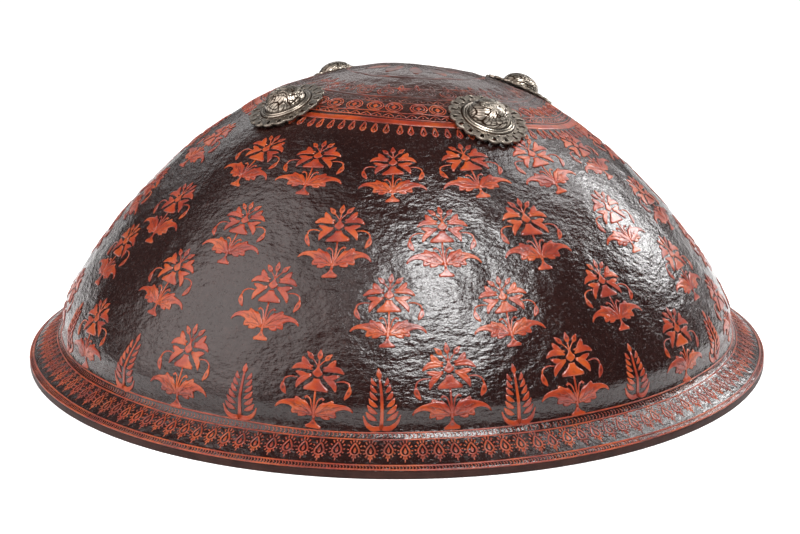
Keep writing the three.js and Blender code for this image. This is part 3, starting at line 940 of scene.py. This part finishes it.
class SHIELD_OT_crown(bpy.types.Operator):
    """Lay the crown's oval rings of drops, arches and medallions"""
    bl_idname = "shield.crown"
    bl_label = "Crown ornament"

    def execute(self, context):
        _, colours = settings()
        rng = np.random.default_rng(300)
        low, high = Stock(), Stock()  # the fresher rings low on the crown, and the worn ones over them

        def ring(stock, scale, half, height=0.3):
            ring_stock(stock, lambda angle, across, lift: on_crown(scale, angle, 0.0 * across, across, lift),
                       half, height, 360, 0.25, rng)

        def lay_one(stock, motif, scale, turn, rise=1.0):
            flat = motif.stock.all_points()
            points = on_crown(scale, np.full(len(flat), turn), flat[:, 0] * MM, flat[:, 1] * MM,
                              flat[:, 2] * rise * MM)
            stock.add_stock(motif.stock, points)

        def lay_round(stock, motif, scale, count):
            for i in range(count):
                turn = (i + rng.normal(0.0, 0.05)) / count * TURN
                lay_one(stock, motif, scale, turn, WORN_HEIGHT if stock is high else 1.0)

        lay_round(low, drop_motif(), 1.0, 98)
        ring(low, 0.972, 2.7, 0.35)
        ring(low, 0.938, 0.45)
        lay_round(low, arch_motif(6.6), 0.915, 90)
        ring(low, 0.893, 0.4)
        lay_round(low, medallion_motif(), 0.838, 44)
        ring(high, 0.783, 0.5, WORN_LINE)
        lay_round(high, arch_motif(6.2), 0.755, 80)
        ring(high, 0.72, 1.3, WORN_LINE)
        lay_round(high, medallion_motif(), 0.655, 34)
        ring(high, 0.6, 0.6, WORN_LINE)
        lay_round(high, drop_motif(), 0.55, 44)
        ring(high, 0.42, 1.1, WORN_LINE)
        petal = Motif()
        petal.blade([(0, 3), (0, 14), (0, 26)], [0.8, 4.6, 3.6, 0.5], height=0.16, steps=9)
        for i in range(ROSETTE_PETALS):
            lay_one(high, petal, 0.38, i / ROSETTE_PETALS * TURN)
        piece_from("crown_rings", low, [red_lacquer_material("red_lacquer_crown", colours, faded=0.45)])
        piece_from("crown_rosette", high, [red_lacquer_material("red_lacquer_worn", colours, faded=1.35)])
        return {"FINISHED"}


# Where each boss sits: degrees round from +X, and millimetres from the axis. Its own sizes are in millimetres
# too: a ring's inner and outer radius, a hole's half length and half width, a dome's radius and rise.
BOSS_PLACES = {"boss_front_left": (219.0, 85.5), "boss_front_right": (304.2, 95.0),
               "boss_back_right": (27.5, 92.5), "boss_back_left": (120.5, 82.5)}
SEAT_GAP = 0.3
DISC_THICKNESS = 1.5
DISC_TOP = SEAT_GAP + DISC_THICKNESS
DISC_BEVEL = 0.25
LOBE_TIP = 24.5
LOBE_DEPTH = 1.8
HOLE_CENTRE = 20.9
HOLE_HALF = (2.2, 1.45)
SMALL_HOLE_CENTRE = 18.2
SMALL_HOLE_HALF = (0.95, 0.95)
BOSS_RING = (13.3, 16.0)
BOSS_DOME = (12.9, 10.6)
DOME_FOOT = 0.8
CHASING_DEPTH = 0.38
BEADS = 60
BEAD_HEIGHT = 0.22
BEADED_ROW = 10
BOSS_COLUMNS = 180
SHANK_RADIUS = 3.0
BUTTON_RADIUS = 6.0
BUTTON_HEIGHT = 1.8
BUTTON_GAP = 1.0


def pierced_disc(lobes):
    """The boss's lobed disc with a hole in each lobe, as points and triangles in millimetres."""
    curve = bpy.data.curves.new("pierced_disc", "CURVE")
    curve.dimensions = "2D"
    curve.fill_mode = "BOTH"
    curve.extrude = DISC_THICKNESS / 2 - DISC_BEVEL
    curve.bevel_depth = DISC_BEVEL
    curve.bevel_resolution = 1
    curve.offset = -DISC_BEVEL

    def spline(points):
        line = curve.splines.new("POLY")
        line.points.add(len(points) - 1)
        for point, (x, y) in zip(line.points, points):
            point.co = (x, y, 0.0, 1.0)
        line.use_cyclic_u = True

    steps = 12 * lobes
    turn = np.arange(steps) / steps * TURN
    edge = LOBE_TIP - LOBE_DEPTH * (1.0 - np.abs(np.cos(turn * lobes / 2.0)) ** 0.8)
    spline(np.stack([edge * np.cos(turn), edge * np.sin(turn)], axis=-1).tolist())
    around = np.arange(12) / 12 * TURN
    for i in range(lobes):
        middle = i / lobes * TURN
        for centre, (long_half, wide_half), at in (
                (HOLE_CENTRE, HOLE_HALF, middle),
                (SMALL_HOLE_CENTRE, SMALL_HOLE_HALF, middle + math.pi / lobes)):
            out, side = centre + long_half * np.cos(around), wide_half * np.sin(around)
            x = out * math.cos(at) - side * math.sin(at)
            y = out * math.sin(at) + side * math.cos(at)
            spline(np.stack([x, y], axis=-1)[::-1].tolist())
    disc = bpy.data.objects.new("pierced_disc", curve)
    mesh = bpy.data.meshes.new_from_object(disc)
    mesh.calc_loop_triangles()
    points = np.array([v.co for v in mesh.vertices])
    tris = np.array([t.vertices for t in mesh.loop_triangles])
    bpy.data.objects.remove(disc)
    bpy.data.curves.remove(curve)
    bpy.data.meshes.remove(mesh)
    return points, tris


def engraving(turn, share, seed):
    """Depth, 0 to 1, of the leafy swirls cut into a boss's dome."""
    phase = seed * 1.7
    flow = 2.0 * turn + 5.0 * share + 1.5 * np.sin(3.0 * turn - 6.0 * share + phase)
    stem = np.exp(-(np.sin(flow + phase) / 0.16) ** 2)
    scroll = np.exp(-(np.sin(3.0 * turn + 9.0 * share + 1.8 * np.sin(flow)) / 0.17) ** 2)
    vein = np.exp(-(np.sin(13.0 * turn - 17.0 * share + 2.4 * np.sin(flow)) / 0.38) ** 2)
    fine = vein * ease(1.0 - share, 0.12, 0.4)
    return np.clip(stem + 0.8 * scroll + 0.6 * fine, 0.0, 1.0) * ease(share, 0.04, 0.1)


def turned_form(stock, rows, turn, shade):
    """Adds a form turned about its axis, from rows of (radius, height) that may vary round the turn."""
    rings = np.array([np.stack([radius * np.cos(turn), radius * np.sin(turn), height + 0.0 * turn], axis=-1)
                      for radius, height in rows])
    stock.add(rings.reshape(-1, 3), tube_quads(len(rows), len(turn)), shade=shade)
    return rings


def boss_body(stock, seed):
    """The turned middle of a boss: a brown flat, two bright rings, a beaded foot and the chased dome."""
    inner, outer = BOSS_RING
    dome_radius, dome_rise = BOSS_DOME
    mouldings = (  # radius, height over the disc, darkness
        (17.1, -0.1, 0.5), (17.0, 0.05, 0.75), (outer + 0.1, 0.06, 0.95), (outer, 0.5, 0.4),
        (outer - 0.3, 0.85, 0.0), (outer - 0.75, 0.95, 0.0), (outer - 1.2, 0.75, 0.5),
        (outer - 1.4, 0.7, 0.8), (outer - 1.6, 0.9, 0.4), (outer - 2.0, 1.4, 0.0), (outer - 2.5, 1.45, 0.1),
        (inner + 0.1, 1.2, 0.6), (inner, DOME_FOOT, 1.0), (dome_radius + 0.1, DOME_FOOT, 1.0))
    turn = np.arange(BOSS_COLUMNS) / BOSS_COLUMNS * TURN
    beads = BEAD_HEIGHT * np.cos(turn * BEADS)
    rows, shades = [], []
    for number, (radius, height, dark) in enumerate(mouldings):
        bead = beads if number == BEADED_ROW else 0.0 * turn
        rows.append((radius, DISC_TOP + height + bead))
        shades.append(dark + 0.3 * (bead < -0.05))
    for share in np.linspace(0.0, 0.985, 56):
        lean = share * math.pi / 2
        cos, sin = math.cos(lean), math.sin(lean)
        cut = CHASING_DEPTH * engraving(turn, share, seed)
        rise = (dome_rise - DOME_FOOT) * sin ** 0.92
        rows.append((dome_radius * cos - cut * cos, DISC_TOP + DOME_FOOT + rise - cut * sin))
        shades.append(cut / CHASING_DEPTH + 0.15 + 0.5 * (1.0 - ease(share, 0.0, 0.12)))
    last_ring = turned_form(stock, rows, turn, np.concatenate(shades))[-1]
    top = last_ring.mean(axis=0) + (0.0, 0.0, 0.06)
    around = np.arange(BOSS_COLUMNS)
    cap = np.stack([around, (around + 1) % BOSS_COLUMNS, np.full(BOSS_COLUMNS, BOSS_COLUMNS)], axis=-1)
    stock.add(np.vstack([last_ring, top]), tris=cap, shade=0.2)


def boss_ribs(stock, lobes):
    """Three chased ribs on each lobe of the disc, like a small fan."""
    ribs = Motif()
    for i in range(lobes):
        cos, sin = math.cos(i / lobes * TURN), math.sin(i / lobes * TURN)
        for lean in (-0.6, 0.0, 0.6):
            root = (18.9 if lean else 23.0, 1.5 * lean)
            tip = (22.6 if lean else 24.2, 2.9 * lean)
            line = [(out * cos - side * sin, out * sin + side * cos) for out, side in (root, tip)]
            ribs.blade(line, [0.35, 0.5, 0.35], height=0.35, steps=4, section=CORD)
    stock.add_stock(ribs.stock, ribs.stock.all_points() + (0.0, 0.0, DISC_TOP))


def boss_shank(stock):
    """The shank through the hide, with its hammered button inside."""
    low = -WALL / MM - BUTTON_GAP
    bottom = low - BUTTON_HEIGHT
    axis = 0.02
    rows = ((axis, bottom), (2.6, bottom + 0.05), (4.8, bottom + 0.45), (BUTTON_RADIUS - 0.1, low - 0.8),
            (BUTTON_RADIUS, low - 0.4), (BUTTON_RADIUS - 0.3, low), (SHANK_RADIUS, low),
            (SHANK_RADIUS, SEAT_GAP + 0.4), (axis, SEAT_GAP + 0.4))
    turned_form(stock, rows, np.arange(48) / 48 * TURN, 0.45)


def boss_stock(lobes, seed):
    """A whole boss in millimetres, its seat on z = 0: disc, mouldings, engraved dome, shank and button."""
    stock = Stock()
    points, tris = pierced_disc(lobes)
    points[:, 2] += SEAT_GAP + DISC_THICKNESS / 2
    stock.add(points, tris=tris, shade=0.35)
    boss_body(stock, seed)
    boss_ribs(stock, lobes)
    boss_shank(stock)
    return stock


class SHIELD_OT_bosses(bpy.types.Operator):
    """Build the four pierced and engraved bosses"""
    bl_idname = "shield.bosses"
    bl_label = "Bosses"

    def execute(self, context):
        sizes, colours = settings()
        material = aged_silver_material(colours)
        for seed, node in enumerate(BOSS_NODES):
            degrees, distance = BOSS_PLACES[node]
            angle = math.radians(degrees)
            reach = float(reach_at_radius(distance * MM))
            radius, height = (np.interp(reach, REACH, PROFILE[:, k]) for k in (0, 1))
            out, up = (np.interp(reach, REACH, PROFILE_NORMAL[:, k]) for k in (0, 1))
            normal = Vector((out * math.cos(angle), out * math.sin(angle), up))
            place = np.array(Vector((0.0, 0.0, 1.0)).rotation_difference(normal).to_matrix())
            foot = np.array([radius * math.cos(angle), radius * math.sin(angle), height])
            local = boss_stock(sizes.lobes, seed)
            placed = Stock()
            placed.add_stock(local, foot + (local.all_points() * MM) @ place.T)
            piece_from(node + "_visual", placed, [material], [node])
        return {"FINISHED"}


SHIELD_MIDDLE = (0.0, 0.0, 0.35 * SHIELD_HEIGHT)
NEUTRAL, WARM = (1.0, 1.0, 1.0), (1.0, 0.93, 0.91)
# Soft studio lamps: name, place and size in metres, watts, the point each is turned to, and tint
LAMPS = (
    ("soft_box_left", (-1.4, -0.55, 1.25), (1.9, 1.9), 34.0, SHIELD_MIDDLE, WARM),
    ("small_box_right", (0.42, -0.95, 1.75), (0.8, 0.62), 52.0, SHIELD_MIDDLE, NEUTRAL),
    ("small_box_back_right", (1.55, 0.95, 0.92), (0.5, 0.42), 15.0, SHIELD_MIDDLE, NEUTRAL),
    ("strip_back_right", (1.05, 0.72, 1.45), (0.3, 0.8), 8.0, SHIELD_MIDDLE, NEUTRAL),
    ("back_panel", (0.0, 2.5, 1.5), (3.2, 1.4), 5.0, SHIELD_MIDDLE, NEUTRAL),
    ("far_floor_panel", (0.0, 4.0, 1.6), (6.0, 2.4), 56.0, (0.0, 4.0, 0.0), NEUTRAL),
)
ROOM_LIGHT = 0.06
# The floor lies a hair under the rim, so that the two faces don't flicker
FLOOR_DROP = 0.3 * MM
CAMERA_PLACE = (0.008 * RIM_RADIUS, -3.5 * RIM_RADIUS, 1.129 * RIM_RADIUS)
CAMERA_DIP = 15.03
CAMERA_LENS = 58.5
CAMERA_SENSOR = 36.0


class SHIELD_OT_stage(bpy.types.Operator):
    """Set the floor, the lights and the camera"""
    bl_idname = "shield.stage"
    bl_label = "Stage"

    def execute(self, context):
        scene = bpy.context.scene
        sizes, _ = settings()
        half, low = sizes.floor_width / 2, -FLOOR_DROP
        mesh = bpy.data.meshes.new("studio_floor")
        mesh.from_pydata([(-half, -half, low), (half, -half, low), (half, half, low), (-half, half, low)], [],
                         [(0, 1, 2, 3)])
        mesh.materials.append(floor_material())
        floor = bpy.data.objects.new("studio_floor", mesh)
        scene.collection.objects.link(floor)
        world = bpy.data.worlds.new("studio")
        scene.world = world
        world.use_nodes = True
        background = world.node_tree.nodes["Background"]
        background.inputs["Color"].default_value = WHITE
        background.inputs["Strength"].default_value = ROOM_LIGHT
        for lamp in LAMPS:
            self.light(*lamp)
        camera_data = bpy.data.cameras.new("camera")
        camera_data.lens = CAMERA_LENS
        camera_data.sensor_width = CAMERA_SENSOR
        camera = bpy.data.objects.new("camera", camera_data)
        camera.location = CAMERA_PLACE
        camera.rotation_euler = (math.radians(90.0 - CAMERA_DIP), 0.0, 0.0)
        scene.collection.objects.link(camera)
        scene.camera = camera
        scene.view_settings.view_transform = "Standard"
        return {"FINISHED"}

    def light(self, name, place, size, watts, aim, tint):
        data = bpy.data.lights.new(name, "AREA")
        data.shape = "RECTANGLE"
        data.size, data.size_y = size
        data.energy = watts
        data.color = tint
        lamp = bpy.data.objects.new(name, data)
        lamp.location = place
        facing = Vector(aim) - lamp.location
        lamp.rotation_euler = facing.to_track_quat("-Z", "Y").to_euler()
        bpy.context.scene.collection.objects.link(lamp)


class SHIELD_PT_panel(bpy.types.Panel):
    """The shield's pieces and settings"""
    bl_idname = "SHIELD_PT_panel"
    bl_label = "Lacquered shield"
    bl_space_type = "VIEW_3D"
    bl_region_type = "UI"
    bl_category = "Shield"

    def draw(self, context):
        for operator in OPERATORS:
            self.layout.operator(operator.bl_idname)
        for group in (context.scene.shield_sizes, context.scene.shield_colours):
            for name in group.__annotations__:
                self.layout.prop(group, name)


OPERATORS = (SHIELD_OT_shell, SHIELD_OT_flowers, SHIELD_OT_border, SHIELD_OT_crown, SHIELD_OT_bosses,
             SHIELD_OT_stage)
CLASSES = (ShieldColours, ShieldSizes) + OPERATORS + (SHIELD_PT_panel,)


def register():
    for cls in CLASSES:
        bpy.utils.register_class(cls)
    bpy.types.Scene.shield_colours = bpy.props.PointerProperty(type=ShieldColours)
    bpy.types.Scene.shield_sizes = bpy.props.PointerProperty(type=ShieldSizes)


def unregister():
    del bpy.types.Scene.shield_sizes
    del bpy.types.Scene.shield_colours
    for cls in reversed(CLASSES):
        bpy.utils.unregister_class(cls)


def main():
    register()
    for operator in OPERATORS:
        group, name = operator.bl_idname.split(".")
        getattr(getattr(bpy.ops, group), name)()


if __name__ == "__main__":
    main()
